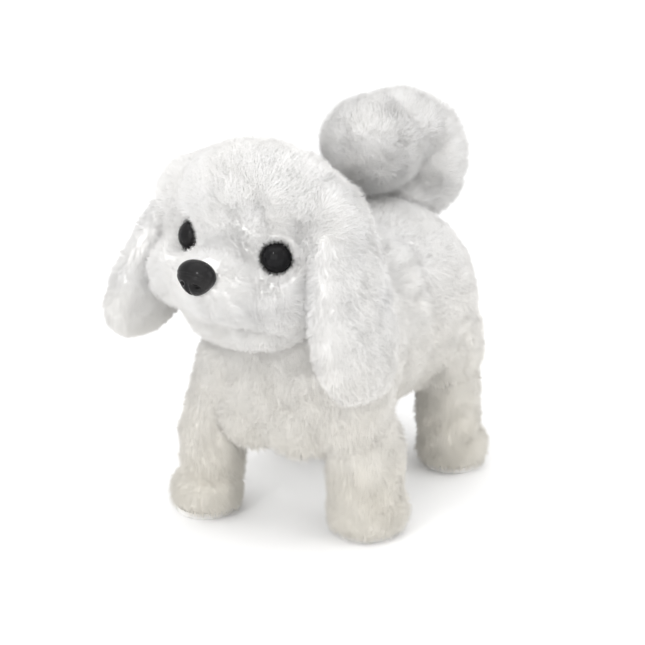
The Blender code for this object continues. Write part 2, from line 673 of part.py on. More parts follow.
def leg_sole(front, side):
    name = leg_names(front, side)
    hip_y = FRONT_HIP_Y if front else REAR_HIP_Y
    foot = (side * FOOT_X, hip_y + side * STEP, 0)
    profile = [(0, SOLE_RADIUS - 0.8 * MM), (0.6 * MM, SOLE_RADIUS), (SOLE_THICK, SOLE_RADIUS)]
    sole = turned(name + "_sole", foot, (0, 0, 1), profile, RUBBER, 18)
    return set_origin(sole, (0, hip_y, HIP_Z))


def link_rod(side):
    """The rod that ties a side's two legs together, with the slot that the crank pin works in."""
    name = "left_link_rod" if side > 0 else "right_link_rod"
    z = HIP_Z + LEVER_HEIGHT
    shift = -side * STEP * LEVER_HEIGHT / HIP_Z
    front, rear = FRONT_HIP_Y + shift, REAR_HIP_Y + shift
    yoke = CRANK_AT[0] + shift
    low_x, high_x = side * 19 * MM, side * 21 * MM
    outline = [
        (front - 3.4 * MM, z - 2.4 * MM),
        (front - 3.4 * MM, z + 2.4 * MM),
        (yoke - 3.6 * MM, z + 2.4 * MM),
        (yoke - 3.6 * MM, z + 3.6 * MM),
        (yoke + 3.6 * MM, z + 3.6 * MM),
        (yoke + 3.6 * MM, z + 2.4 * MM),
        (rear + 3.4 * MM, z + 2.4 * MM),
        (rear + 3.4 * MM, z - 2.4 * MM),
        (yoke + 3.6 * MM, z - 2.4 * MM),
        (yoke + 3.6 * MM, z - 9.6 * MM),
        (yoke - 3.6 * MM, z - 9.6 * MM),
        (yoke - 3.6 * MM, z - 2.4 * MM),
    ]
    made = slab(name, outline, low_x, high_x, LEVERS)
    for end, y in (("front", front), ("rear", rear)):
        cut(made, axle_through(f"{name}_{end}_hole", (y, z), side * 17 * MM, side * 23 * MM, 1.65 * MM))
    slot_low = (min(side * 17, side * 23) * MM, yoke - 1.2 * MM, z - 8 * MM)
    slot_high = (max(side * 17, side * 23) * MM, yoke + 1.2 * MM, z + 2 * MM)
    cut(made, box(name + "_slot", slot_low, slot_high))
    return set_origin(made, (0, front, z))


# ---------------------------------------------------------------- head


def neck():
    axis = (0, NECK_Y)
    foot = CASE_LOW_TOP + GAP
    profile = [(0, 6 * MM), (2 * MM, 6 * MM), (2.1 * MM, 3 * MM), (27 * MM, 3 * MM)]
    post = turned("neck_post", (*axis, foot), (0, 0, 1), profile, LEVERS, 16)
    cut(post, rod("post_hole", (*axis, foot + 15 * MM), (*axis, foot + 30 * MM), 1.3 * MM))
    top = foot + 27 * MM
    screw_profile = [
        (-9 * MM, MM),
        (GAP, MM),
        (GAP + 0.05 * MM, 5 * MM),
        (1.6 * MM, 5 * MM),
        (2.2 * MM, 4 * MM),
    ]
    turned("neck_screw", (*axis, top), (0, 0, 1), screw_profile, STEEL, 16)
    hub_profile = [
        (0, 9 * MM),
        (2 * MM, 9 * MM),
        (2.1 * MM, 6 * MM),
        (21.5 * MM, 6 * MM),
        (21.6 * MM, 12 * MM),
        (23 * MM, 12 * MM),
    ]
    hub = turned("neck_hub", (*axis, top - 23.5 * MM), (0, 0, 1), hub_profile, LEVERS, 18)
    cut(hub, rod("hub_bore", (*axis, 70 * MM), (*axis, 110 * MM), 3.35 * MM))
    return set_origin(hub, (0, NECK_Y, 0))


def skull(side, name):
    """Half of the hollow plastic skull, split across the head; side -1 is the front half."""
    shell = ball(name, SKULL_CENTRE, [SKULL_RADIUS] * 3, CASING, 16, 10)
    cut(shell, ball(name + "_hollow", SKULL_CENTRE, [SKULL_RADIUS - SKULL_WALL] * 3, None, 16, 10))
    edge = SKULL_CENTRE.y + side * GAP / 2
    far = SKULL_CENTRE.y - side * 40 * MM
    low_y, high_y = sorted((edge, far))
    cut(shell, box(name + "_half", (-40 * MM, low_y, 60 * MM), (40 * MM, high_y, 160 * MM)))
    cut(shell, rod(name + "_mouth", (0, NECK_Y, 80 * MM), (0, NECK_Y, 104 * MM), 13 * MM, None, 16))
    return set_origin(shell, (0, NECK_Y, 0))


def eye_direction(side):
    level = math.cos(EYE_LIFT)
    across = side * level * math.sin(EYE_FACING)
    return Vector((across, -level * math.cos(EYE_FACING), math.sin(EYE_LIFT)))


def eye(side, name):
    """A domed button eye whose stem goes back through the fabric, and its lock washer."""
    place = Vector((side * EYE_AT.x, EYE_AT.y, EYE_AT.z))
    out = eye_direction(side)
    dome = [(-5.4 * MM, 1.2 * MM), (-1.3 * MM, 1.2 * MM), (-1.2 * MM, EYE_RADIUS), (-0.5 * MM, EYE_RADIUS)]
    for step in range(1, 6):
        angle = math.pi / 2 * step / 6
        dome.append((-0.5 * MM + 3.8 * MM * math.sin(angle), EYE_RADIUS * math.cos(angle)))
    button = turned(name, place, out, dome, BLACK, 16)
    ring = [(-4.6 * MM, 3.8 * MM), (-3.8 * MM, 3.8 * MM)]
    washer = turned(name + "_washer", place, out, ring, CASING, 12)
    cut(washer, turned(name + "_washer_bore", place, out, [(-9 * MM, 1.5 * MM), (0, 1.5 * MM)], None, 12))
    set_origin(washer, (0, NECK_Y, 0))
    return set_origin(button, (0, NECK_Y, 0))


def nose_solid(name, grow, look=None):
    """The nose: a rounded form, wide at its top and drawn in to a point at the bottom."""
    made = ball(name, NOSE_AT, NOSE_RADII + Vector([grow] * 3), look, 16, 10)
    for vertex in made.data.vertices:
        height = (vertex.co.z - NOSE_AT.z) / NOSE_RADII.z
        vertex.co.x *= 1 + height * (NOSE_WIDER if height > 0 else NOSE_NARROWER)
    return made


def nose():
    made = nose_solid("nose", 0, BLACK)
    join(made, rod("nose_stem", NOSE_AT, NOSE_AT + Vector((0, NOSE_STEM, 0)), 1.3 * MM, None, 12))
    set_origin(made, (0, NECK_Y, 0))
    back = NOSE_AT + Vector((0, NOSE_STEM - 2.1 * MM, 0))
    washer = rod("nose_washer", back, back + Vector((0, 0.9 * MM, 0)), 4 * MM, CASING, 16)
    cut(washer, rod("nose_washer_bore", NOSE_AT, NOSE_AT + Vector((0, 25 * MM, 0)), 1.65 * MM, None, 12))
    return set_origin(washer, (0, NECK_Y, 0))


def head_plush():
    """The head's fur and filling: a round skull, cheeks and a short muzzle, hollow for the skull."""
    skin = ball("head_plush", HEAD_CENTRE, HEAD_RADII, FUR, 22, 14)
    join(skin, ball("muzzle_form", MUZZLE_CENTRE, MUZZLE_RADII, None, 16, 10))
    cut(skin, ball("skull_room", SKULL_CENTRE, [SKULL_RADIUS + 0.9 * MM] * 3, None, 16, 10))
    cut(skin, rod("neck_mouth", (0, NECK_Y, 70 * MM), (0, NECK_Y, 106 * MM), 13.5 * MM, None, 16))
    for side in (-1, 1):
        place = Vector((side * EYE_AT.x, EYE_AT.y, EYE_AT.z))
        well = [(-8 * MM, EYE_RADIUS + 0.4 * MM), (12 * MM, EYE_RADIUS + 0.9 * MM)]
        cut(skin, turned(f"eye_well_{side}", place, eye_direction(side), well, None, 16))
    cut(skin, nose_solid("nose_well", 0.4 * MM))
    shaft = [(0, 1.8 * MM), (15.8 * MM, 1.8 * MM), (15.9 * MM, 4.6 * MM), (22 * MM, 4.6 * MM)]
    cut(skin, turned("nose_stem_room", NOSE_AT, (0, 1, 0), shaft, None, 14))
    return set_origin(skin, (0, NECK_Y, 0))


def turned_about(centre, angle, axis):
    """The matrix of a turn about an axis through a point."""
    return Matrix.Translation(centre) @ Matrix.Rotation(angle, 4, axis) @ Matrix.Translation(-centre)


def lean_head(made):
    """Turns a head piece, built square, to the sway and tilt of this step; its origin stays on the axis."""
    turn = turned_about(Vector((0, NECK_Y, 0)), HEAD_TURN, "Z")
    tilt = turned_about(TILT_CENTRE, HEAD_TILT, "Y")
    place = Matrix.Translation(made.location)
    made.data.transform(place.inverted() @ turn @ tilt @ place)


def ear(side, name):
    """A flat, full ear sewn high on the head, which hangs and flares outwards to its round tip."""
    root_z = EAR_LINE[0][2]
    ear_length = root_z - EAR_LINE[-1][2]
    spine = []
    for x, y, z in EAR_LINE:
        flare = EAR_FLARE * (root_z - z) / ear_length
        spine.append(Vector((side * x * MM + flare, y * MM, z * MM)))
    path, radii = [], []
    for index, point in enumerate(smooth_path(spine, 2)):
        share = index / 2
        low = int(share)
        high = min(low + 1, len(EAR_HALF_WIDTHS) - 1)
        path.append(point)
        radii.append(EAR_HALF_WIDTHS[low] + (EAR_HALF_WIDTHS[high] - EAR_HALF_WIDTHS[low]) * (share - low))
    made = tube_path(name, path, radii, FUR, 16, EAR_THICKNESS_SHARE)
    head_side = ball(name + "_head_side", HEAD_CENTRE, HEAD_RADII + Vector([0.5 * MM] * 3), None, 22, 14)
    cut(made, head_side)
    return set_origin(made, (0, NECK_Y, 0))


# ---------------------------------------------------------------- tail


def tail():
    """The wagging lever, the bent core that it carries and the plume around the core."""
    pivot = (0, 50 * MM, TAIL_PIVOT_Z)
    pin = [(-1.7 * MM, 1.5 * MM), (7 * MM, 1.5 * MM), (7.1 * MM, 3 * MM), (8.4 * MM, 3 * MM)]
    turned("tail_pivot_screw", pivot, (0, 1, 0), pin, STEEL, 16)
    rocker = rod("tail_rocker", pivot, (0, 56 * MM, TAIL_PIVOT_Z), 4.5 * MM, LEVERS)
    arm_low = (-2.2 * MM, 51 * MM, TAIL_PIVOT_Z + 3 * MM)
    join(rocker, box("rocker_arm", arm_low, (2.2 * MM, 55 * MM, 99.6 * MM)))
    cut(rocker, rod("rocker_bore", (0, 40 * MM, TAIL_PIVOT_Z), (0, 70 * MM, TAIL_PIVOT_Z), 1.85 * MM))
    set_origin(rocker, pivot)
    line = smooth_path([Vector(point) * MM for point in TAIL_LINE], 3)
    set_origin(tube_path("tail_core", line, CORE_RADIUS, STEEL, 6, 1.0, (1, 0, 0)), pivot)
    plume = ball("tail_plush", *TAIL_REAR, FUR, 16, 10)
    join(plume, ball("tail_tip_form", *TAIL_TIP, None, 16, 10))
    join(plume, ball("tail_top_form", *TAIL_TOP, None, 16, 10))
    join(plume, ball("tail_root_form", *TAIL_ROOT, None, 12, 8))
    outer = [line[0] - Vector((0, 4, 5)) * MM, *line, line[-1] - Vector((0, 1, 2)) * MM]
    cut(plume, tube_path("tail_channel", outer, CORE_RADIUS + 2 * GAP, None, 6, 1.0, (1, 0, 0)))
    return set_origin(plume, pivot)


# ---------------------------------------------------------------- the whole puppy


def main():
    for old in list(bpy.data.objects):
        bpy.data.objects.remove(old)
    gearbox(1, "gearbox_left")
    gearbox(-1, "gearbox_right")
    chassis_hardware()
    motor()
    gear_train()
    crank_disc(1, "crank_disc_left")
    crank_disc(-1, "crank_disc_right")
    battery_box()
    for index, side in ((1, 1), (2, -1)):
        battery(index, side)
        battery_contact(index, side)
    battery_door()
    switch()
    electronics()
    torso_plush()
    for side in (1, -1):
        for front in (True, False):
            shank = leg_frame(front, side)[1]
            leg_plush(front, side, shank)
            leg_sole(front, side)
        link_rod(side)
    neck()
    upright = set(bpy.data.objects)
    skull(-1, "skull_front")
    skull(1, "skull_rear")
    head_plush()
    ear(1, "ear_left")
    ear(-1, "ear_right")
    eye(1, "eye_left")
    eye(-1, "eye_right")
    nose()
    for made in sorted(set(bpy.data.objects) - upright, key=lambda made: made.name):
        lean_head(made)
    tail()


main()
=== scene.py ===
"""The looks of a white plush puppy that walks, sways its head and wags its tail.

Every soft piece is a closed fabric skin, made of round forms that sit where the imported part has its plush
solids, with a pile of tapered fibres standing on it. Lengths are in millimetres times MM.
"""
import math

import bpy
import numpy as np
from mathutils import Matrix, Vector, noise
from mathutils.bvhtree import BVHTree
from mathutils.kdtree import KDTree


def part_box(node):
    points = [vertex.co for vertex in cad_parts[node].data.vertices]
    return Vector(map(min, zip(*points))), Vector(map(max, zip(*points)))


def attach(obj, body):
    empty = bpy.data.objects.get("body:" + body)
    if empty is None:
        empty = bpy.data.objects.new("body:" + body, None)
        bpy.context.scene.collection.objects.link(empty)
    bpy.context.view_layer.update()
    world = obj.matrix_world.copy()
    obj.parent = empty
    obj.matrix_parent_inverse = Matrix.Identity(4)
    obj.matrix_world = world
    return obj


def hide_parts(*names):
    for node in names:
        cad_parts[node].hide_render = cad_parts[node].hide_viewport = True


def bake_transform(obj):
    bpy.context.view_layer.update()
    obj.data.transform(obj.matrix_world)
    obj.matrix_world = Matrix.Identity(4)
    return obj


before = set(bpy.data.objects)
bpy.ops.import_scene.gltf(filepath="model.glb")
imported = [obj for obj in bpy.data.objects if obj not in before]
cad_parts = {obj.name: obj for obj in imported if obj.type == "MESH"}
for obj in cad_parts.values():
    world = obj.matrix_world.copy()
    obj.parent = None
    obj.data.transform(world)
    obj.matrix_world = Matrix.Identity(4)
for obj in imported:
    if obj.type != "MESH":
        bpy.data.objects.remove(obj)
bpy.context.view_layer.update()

MM = 0.001
UP = Vector((0, 0, 1))
FLOOR_GAP = 0.35 * MM  # between the floor and the lowest fibre
PAW_UNDERSIDE = 2.8 * MM  # the fabric of a paw ends this high, on top of its sole
MOST_FIBRES = 46000  # in one piece

# Skins
VOXEL = 1.3 * MM
LUMP_SIZE = 9 * MM  # from one soft lump of the stuffing to the next
LUMP_HEIGHT = 0.5 * MM
FINE_LUMP_HEIGHT = 0.3 * MM
HEAD_LUMP_HEIGHT = 0.25 * MM

# Pile
FIBRE_WIDTH = 0.24 * MM
HEAD_FIBRE_WIDTH = 0.3 * MM
ROOT_DEPTH = 0.5 * MM
BURIED_MARGIN = 0.6 * MM
LEAST_WIDTH, WIDTH_SPREAD = 0.75, 0.5  # shares of a coat's width
LEAST_LENGTH, LENGTH_SPREAD = 0.72, 0.45  # shares of a coat's length
TUFT_FIBRES = 22
TUFT_PULL = 0.22
JITTER = 0.2  # how far each fibre strays from its coat's lay, and below how far whole patches do
SWIRL = 0.2
SWIRL_SIZE = 11 * MM
LOWEST_TIP = 0.25 * MM  # fibres that lie flatter than this are raised
TIP_RAISE = 0.6 * MM
FACE_PILE = 2.3 * MM  # its length beside the nose
CROWN_PILE = 2.0 * MM  # how much longer it is on the crown and cheeks
NOSE_REACH, CROWN_REACH = 8 * MM, 26 * MM  # it grows from the first distance on, and over the second
EYE_SHORT, EYE_REACH = 2.5 * MM, 8 * MM
SHORTEST_BY_EYE = 0.4
FACE_DROOP = 0.35
FAR = 100  # puts points that lie behind the face out of an eye's or the nose's reach

# Eyes and nose
EYE_RADIUS = 5.3 * MM
EYE_SIDE, EYE_SHIFT, EYE_FORWARD = 19.2, 0.9, 1.7  # millimetres: to its own side, to the left, forward
EYE_LOOK = (0.49, 0.853, 0.173)  # which way it faces: to its own side, forward and up
EYE_DOME = 4.2 * MM
EYE_RIM = 0.5 * MM
DOME_RINGS = 14
SHANK_RADIUS = 1.2 * MM
EYE_WELL = 5.5 * MM  # the flat of the well round an eye, then its depth, slope, rim and how far out it cuts
EYE_WELL_DEPTH = 1.5 * MM
EYE_WELL_SLOPE = 1.5
EYE_WELL_RIM = 8 * MM
EYE_WELL_REACH = 12 * MM
EYE_BARE = 5.7 * MM  # no fibre stands nearer to an eye's middle
LASHES = 900  # round each eye
LASH_WIDTH = 0.24 * MM
LASH_RING, LASH_BAND = 4.9, 0.8  # millimetres
LEAST_LASH, LASH_SPREAD = 0.9, 1.7  # millimetres
LASH_SINK = 0.4  # millimetres
LASH_OUTWARD, LASH_FORWARD, LASH_FORWARD_SPREAD, LASH_STRAY = 0.75, 0.55, 0.5, 0.28
NOSE_SIZE = (7.4, 5.6, 6.4)  # half its width, depth and height, in millimetres
NOSE_FLARE, NOSE_TAPER = 0.14, 0.34  # how much wider it is at the top, and narrower at the bottom
# The nose's features, as shares of its size
GROOVE_WIDTH, GROOVE_DEPTH, GROOVE_TOP = 0.09, 0.22, 0.25
NOSTRIL_ASIDE, NOSTRIL_DROP, NOSTRIL_SLANT = 0.42, 0.12, 0.3
NOSTRIL_WIDTH, NOSTRIL_HEIGHT, NOSTRIL_DEPTH = 0.17, 0.13, 0.42
RIDGE_PLACE, RIDGE_ARCH, RIDGE_WIDTH, RIDGE_HEIGHT = 0.42, 0.35, 0.07, 0.09
NOSE_SEAT = 5 * MM  # the flat of the seat behind the nose, then how far back it lies, its slope and its rim
NOSE_SEAT_BACK = 1.2 * MM
NOSE_SEAT_SLOPE = 4 / 3
NOSE_SEAT_RIM = 8 * MM
NOSE_BARE = 4.6 * MM  # no fibre stands nearer to the nose's middle

# ---------------------------------------------------------------- arrays and meshes


def centre_of(node):
    low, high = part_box(node)
    return (low + high) / 2


def ellipsoid(centre, radii, turn=None, segments=36, rings=22):
    """(points, faces) of a closed ball stretched to three radii; faces are lists of point numbers."""
    points = [(0, 0, 1)]
    for ring in range(1, rings):
        polar = math.pi * ring / rings
        for step in range(segments):
            angle = math.tau * step / segments
            wide = math.sin(polar)
            points.append((wide * math.cos(angle), wide * math.sin(angle), math.cos(polar)))
    points.append((0, 0, -1))
    faces = []
    last = len(points) - 1
    for step in range(segments):
        after = (step + 1) % segments
        faces.append((0, 1 + step, 1 + after))
        low = 1 + (rings - 2) * segments
        faces.append((last, low + after, low + step))
        for ring in range(rings - 2):
            upper, lower = 1 + ring * segments, 1 + (ring + 1) * segments
            faces.append((upper + step, lower + step, lower + after, upper + after))
    array = np.array(points) * np.array(radii)
    if turn is not None:
        array = array @ np.array(turn.to_3x3()).T
    return array + np.array(centre), faces


def node_solid(node):
    """(points, faces) of a CAD node's mesh, to build a new skin from."""
    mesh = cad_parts[node].data
    points = np.array([v.co for v in mesh.vertices], float).reshape(-1, 3)
    return points, [tuple(p.vertices) for p in mesh.polygons]


def new_object(name, points, faces, material):
    mesh = bpy.data.meshes.new(name)
    mesh.from_pydata([tuple(p) for p in points], [], faces)
    mesh.update()
    made = bpy.data.objects.new(name, mesh)
    bpy.context.scene.collection.objects.link(made)
    mesh.materials.append(material)
    mesh.shade_smooth()
    return made


def evaluated_mesh(made):
    """The object's mesh with its modifiers applied, in place of the one it had."""
    graph = bpy.context.evaluated_depsgraph_get()
    mesh = bpy.data.meshes.new_from_object(made.evaluated_get(graph))
    made.modifiers.clear()
    old = made.data
    made.data = mesh
    bpy.data.meshes.remove(old)
    return mesh


def points_of(mesh):
    points = np.empty(len(mesh.vertices) * 3, np.float32)
    mesh.vertices.foreach_get("co", points)
    return points.reshape(-1, 3).astype(float)


def triangles_of(mesh):
    mesh.calc_loop_triangles()
    found = np.empty(len(mesh.loop_triangles) * 3, np.int32)
    mesh.loop_triangles.foreach_get("vertices", found)
    return found.reshape(-1, 3)


def unit(vectors):
    return vectors / np.maximum(np.linalg.norm(vectors, axis=-1, keepdims=True), 1e-12)


def point_normals(points, triangles):
    a, b, c = (points[triangles[:, k]] for k in range(3))
    face = np.cross(b - a, c - a)
    total = np.zeros_like(points)
    for k in range(3):
        np.add.at(total, triangles[:, k], face)
    return unit(total)


def relax(points, edges, rounds, share=0.5):
    """Moves each point towards the mean of its neighbours, a few times."""
    count = np.bincount(edges.ravel(), minlength=len(points))[:, None]
    for _ in range(rounds):
        total = np.zeros_like(points)
        np.add.at(total, edges[:, 0], points[edges[:, 1]])
        np.add.at(total, edges[:, 1], points[edges[:, 0]])
        points = points + share * (total / count - points)
    return points


def wave_noise(points, size, seed):
    """A smooth value from about -1 to 1 at each point, which changes over about size."""
    shift = Vector((seed * 7.31, seed * 3.17, seed * 5.77))
    return np.array([noise.noise(Vector(p) / size + shift) for p in points])


def skin(name, solids, seed, rounds=6, swell=0.0, shape=None, lumps=LUMP_HEIGHT):
    """One closed fabric skin round all the solids, with soft creases where they meet.

    rounds is how often the skin is relaxed, swell how far it is then pushed out and lumps how uneven it gets;
    shape(points) makes the last changes."""
    points, faces, start = [], [], 0
    for solid_points, solid_faces in solids:
        points.append(solid_points)
        faces += [tuple(start + i for i in face) for face in solid_faces]
        start += len(solid_points)
    made = new_object(name, np.concatenate(points), faces, FABRIC)
    remesh = made.modifiers.new("one_skin", "REMESH")
    remesh.mode = "VOXEL"
    remesh.voxel_size = VOXEL
    mesh = evaluated_mesh(made)
    at = points_of(mesh)
    edges = np.empty(len(mesh.edges) * 2, np.int32)
    mesh.edges.foreach_get("vertices", edges)
    at = relax(at, edges.reshape(-1, 2), rounds)
    normals = point_normals(at, triangles_of(mesh))
    at = at + normals * (swell + lumps * wave_noise(at, LUMP_SIZE, seed))[:, None]
    if shape is not None:
        at = shape(at)
    mesh.vertices.foreach_set("co", at.astype(np.float32).ravel())
    mesh.update()
    mesh.materials.clear()
    mesh.materials.append(FABRIC)
    mesh.shade_smooth()
    return made


# ---------------------------------------------------------------- the pile


class Pile:
    """Places on a skin where fibres stand: their points, the skin's normals there and a random generator."""

    def __init__(self, points, normals, random):
        self.points, self.normals, self.random = points, normals, random

    def only(self, wanted):
        return Pile(self.points[wanted], self.normals[wanted], self.random)


def sown(base, per_mm2, seed):
    """A pile spread evenly over all of a skin."""
    random = np.random.default_rng(seed)
    points, triangles = points_of(base.data), triangles_of(base.data)
    normals = point_normals(points, triangles)
    a, b, c = (points[triangles[:, k]] for k in range(3))
    areas = np.linalg.norm(np.cross(b - a, c - a), axis=1) / 2
    count = int(areas.sum() / MM**2 * per_mm2)
    share = (np.arange(count) + random.random(count)) / count
    at = np.searchsorted(np.cumsum(areas) / areas.sum(), share).clip(0, len(areas) - 1)
    u, v = random.random(count), random.random(count)
    over = u + v > 1
    u[over], v[over] = 1 - u[over], 1 - v[over]
    weights = np.stack([1 - u - v, u, v], 1)
    corners = triangles[at]
    places = (points[corners] * weights[:, :, None]).sum(1)
    return Pile(places, unit((normals[corners] * weights[:, :, None]).sum(1)), random)


def buried(points, bases, margin):
    """True for each point that lies inside one of the bases, or nearer than margin to its outside."""
    inside = np.zeros(len(points), bool)
    for base in bases:
        mesh = base.data
        tree = BVHTree.FromPolygons([v.co for v in mesh.vertices], [tuple(p.vertices) for p in mesh.polygons])
        low, high = points_of(mesh).min(0) - margin, points_of(mesh).max(0) + margin
        near = np.flatnonzero(((points > low) & (points < high)).all(1) & ~inside)
        for index in near:
            spot = Vector(points[index])
            found, normal, _, _ = tree.find_nearest(spot)
            if (spot - found).dot(normal) < margin:
                inside[index] = True
    return inside


def tufted(pile, tips, size, pull):
    """Draws the tips of neighbouring fibres together, so that the pile shows soft tufts."""
    count = int(len(pile.points) / size)
    chosen = pile.random.choice(len(pile.points), count, replace=False)
    tree = KDTree(count)
    for number, index in enumerate(chosen):
        tree.insert(pile.points[index], number)
    tree.balance()
    nearest = np.array([tree.find(p)[1] for p in pile.points])
    leader = chosen[nearest]
    away = tips[leader] - tips
    return tips + away * pull[:, None]


def fibres(name, pile, tips, width, material, soften=0.9):
    """A mesh of closed, three-sided fibres, each from its root in the skin to a fine tip.

    soften is how much of each fibre's shading follows the skin under it, from 0 to 1."""
    roots = pile.points - pile.normals * ROOT_DEPTH
    along = unit(tips - roots)
    random = pile.random
    side = unit(np.cross(along, unit(random.normal(size=along.shape))))
    other = np.cross(along, side)
    count = len(roots)
    wide = width * (LEAST_WIDTH + WIDTH_SPREAD * random.random(count))[:, None] / 2
    points = np.empty((count, 4, 3))
    shading = np.empty((count, 4, 3))
    for corner in range(3):
        angle = math.tau * corner / 3
        out = side * math.cos(angle) + other * math.sin(angle)
        points[:, corner] = roots + out * wide
        shading[:, corner] = unit(pile.normals * soften + out * (1 - soften))
    points[:, 3] = tips
    shading[:, 3] = pile.normals
    points[:, :, 2] = np.maximum(points[:, :, 2], FLOOR_GAP)
    first = np.arange(count, dtype=np.int32) * 4
    corners = np.stack(
        [
            np.stack([first, first + 1, first + 3], 1),
            np.stack([first + 1, first + 2, first + 3], 1),
            np.stack([first + 2, first, first + 3], 1),
            np.stack([first + 2, first + 1, first], 1),
        ],
        1,
    ).reshape(-1)
    mesh = bpy.data.meshes.new(name)
    mesh.vertices.add(count * 4)
    mesh.vertices.foreach_set("co", points.astype(np.float32).ravel())
    mesh.loops.add(len(corners))
    mesh.loops.foreach_set("vertex_index", corners)
    mesh.polygons.add(len(corners) // 3)
    mesh.polygons.foreach_set("loop_start", np.arange(0, len(corners), 3, dtype=np.int32))
    mesh.update(calc_edges=True)
    mesh.shade_smooth()
    mesh.normals_split_custom_set_from_vertices(shading.reshape(-1, 3).astype(np.float32))
    mesh.materials.append(material)
    made = bpy.data.objects.new(name, mesh)
    bpy.context.scene.collection.objects.link(made)
    return made


def panels(name, pile, tips, width):
    """The fibres of one coat, in pieces of no more than MOST_FIBRES, from the front to the back."""
    count = math.ceil(len(tips) / MOST_FIBRES)
    order = np.argsort(pile.points[:, 1], kind="stable")
    return [
        fibres(f"{name}_{number}" if count > 1 else name, pile.only(chosen), tips[chosen], width, PILE)
        for number, chosen in enumerate(np.array_split(order, count), 1)
    ]


def coat(name, base, per_mm2, length, lift, comb, seed, width=FIBRE_WIDTH, keep=None, hidden_by=()):
    """The pile of one skin, without the fibres that keep(points) leaves out or that hidden_by's skins cover.

    comb(points) gives the way the fibres lie and length, a number or a function of the points, how long they
    are. lift is how far they stand up from the skin, from 0 to 1."""
    pile = sown(base, per_mm2, seed)
    if keep is not None:
        pile = pile.only(keep(pile.points))
    if hidden_by:
        pile = pile.only(~buried(pile.points, hidden_by, BURIED_MARGIN))
    points, normals = pile.points, pile.normals
    lay = comb(points)
    lay = unit(lay - normals * (lay * normals).sum(1, keepdims=True))
    reach = length(points) if callable(length) else np.full(len(points), length)
    direction = normals * lift + lay * (1 - lift)
    swirl = np.stack([crossing_waves(points, SWIRL_SIZE, seed + k) for k in (1, 2, 3)], 1)
    direction = unit(direction + SWIRL * swirl + JITTER * pile.random.normal(size=points.shape))
    reach = reach * (LEAST_LENGTH + LENGTH_SPREAD * pile.random.random(len(points)))
    tips = points + direction * reach[:, None]
    pull = TUFT_PULL * (0.6 + 0.6 * pile.random.random(len(points)))
    tips = tufted(pile, tips, TUFT_FIBRES, pull)
    low = ((tips - points) * normals).sum(1) < LOWEST_TIP
    tips[low] += normals[low] * TIP_RAISE
    return panels(name, pile, tips, width)


def crossing_waves(points, size, seed):
    """A smooth value from -1 to 1 at each point, from a few crossing waves."""
    random = np.random.default_rng(1000 + seed)
    total = np.zeros(len(points))
    for _ in range(6):
        way = unit(random.normal(size=3))
        pitch = (math.tau / size) * (0.6 + 0.8 * random.random())
        total += np.sin(points @ way * pitch + random.random() * math.tau)
    return total / 3


# ---------------------------------------------------------------- materials


def node_material(name):
    made = bpy.data.materials.new(name)
    made.use_nodes = True
    return made, made.node_tree, made.node_tree.nodes["Principled BSDF"]


def ramp(tree, low, high, low_colour, high_colour):
    made = tree.nodes.new("ShaderNodeValToRGB")
    made.color_ramp.elements[0].position = low
    made.color_ramp.elements[0].color = (*low_colour, 1)
    made.color_ramp.elements[1].position = high
    made.color_ramp.elements[1].color = (*high_colour, 1)
    return made


def noise_texture(tree, scale, detail=3.0):
    place = tree.nodes.new("ShaderNodeTexCoord")
    made = tree.nodes.new("ShaderNodeTexNoise")
    made.inputs["Scale"].default_value = scale
    made.inputs["Detail"].default_value = detail
    tree.links.new(place.outputs["Object"], made.inputs["Vector"])
    return made


def patterned(name, dark, pale, scale, rough_low, rough_high, bump=0.0, bump_scale=None, bump_depth=0.1 * MM):
    """A material whose colour and roughness wander with noise, and whose surface has a fine grain."""
    made, tree, shader = node_material(name)
    clouds = noise_texture(tree, scale)
    colour = ramp(tree, 0.3, 0.7, dark, pale)
    tree.links.new(clouds.outputs["Fac"], colour.inputs["Fac"])
    tree.links.new(colour.outputs["Color"], shader.inputs["Base Color"])
    span = tree.nodes.new("ShaderNodeMapRange")
    span.inputs["To Min"].default_value = rough_low
    span.inputs["To Max"].default_value = rough_high
    tree.links.new(clouds.outputs["Fac"], span.inputs["Value"])
    tree.links.new(span.outputs["Result"], shader.inputs["Roughness"])
    if bump:
        grain = noise_texture(tree, bump_scale, 2.0)
        raised = tree.nodes.new("ShaderNodeBump")
        raised.inputs["Strength"].default_value = bump
        raised.inputs["Distance"].default_value = bump_depth
        tree.links.new(grain.outputs["Fac"], raised.inputs["Height"])
        tree.links.new(raised.outputs["Normal"], shader.inputs["Normal"])
    return made, shader


# The warm grey of the painted shade on the plush near the floor
FOOT_PAINTED_SHADE = (0.91, 0.88, 0.81)
PAINTED_SHADE_LOW, PAINTED_SHADE_HIGH = 20 * MM, 100 * MM  # the painted shade is full below the first height, and gone above the second
